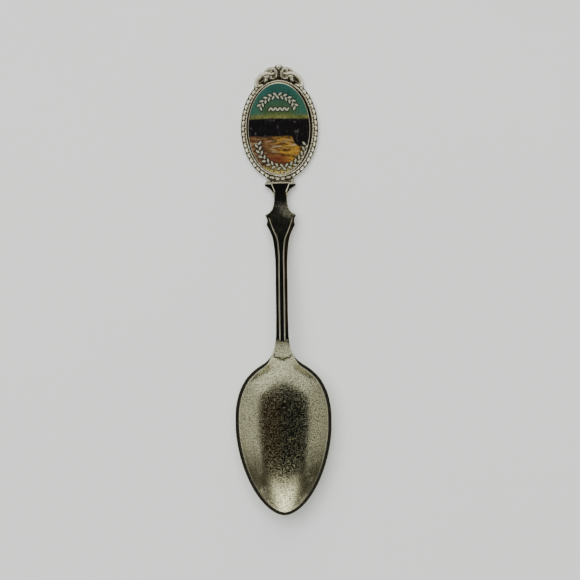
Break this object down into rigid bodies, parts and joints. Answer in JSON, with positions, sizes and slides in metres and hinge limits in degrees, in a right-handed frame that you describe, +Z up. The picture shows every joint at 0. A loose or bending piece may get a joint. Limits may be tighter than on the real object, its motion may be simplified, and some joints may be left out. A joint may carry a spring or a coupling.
{
  "type": "souvenir spoon",
  "caption": "Small metal spoon with a pointed oval bowl, a reeded arched stem and a beaded oval finial that frames a domed picture plate under a scrolled crest.",
  "frame": {"origin": "Under the middle of the spoon's length and width, on the surface that the spoon lies on.", "axes": "+Y runs along the spoon towards the finial, +X to the right as the bowl's hollow faces the viewer, +Z up out of the hollow."},
  "size_m": [0.0246, 0.115, 0.0093],
  "materials": {
    "stamped_metal": "plated steel, bright on the stem, fine satin grain in the bowl, lightly tarnished",
    "cast_metal": "plated casting, bright on the beads, dark in the recesses",
    "solder": "soft solder under plating, bright",
    "adhesive": "hardened glue",
    "filler": "pressed board",
    "lacquered_picture": "printed and embossed foil under clear gloss lacquer"
  },
  "bodies": {
    "root": {"bowl_and_stem": "stamped_metal", "finial_frame": "cast_metal", "solder_seam": "solder", "adhesive_pad": "adhesive", "plate_backing": "filler", "picture_plate": "lacquered_picture"}
  },
  "joints": []
}
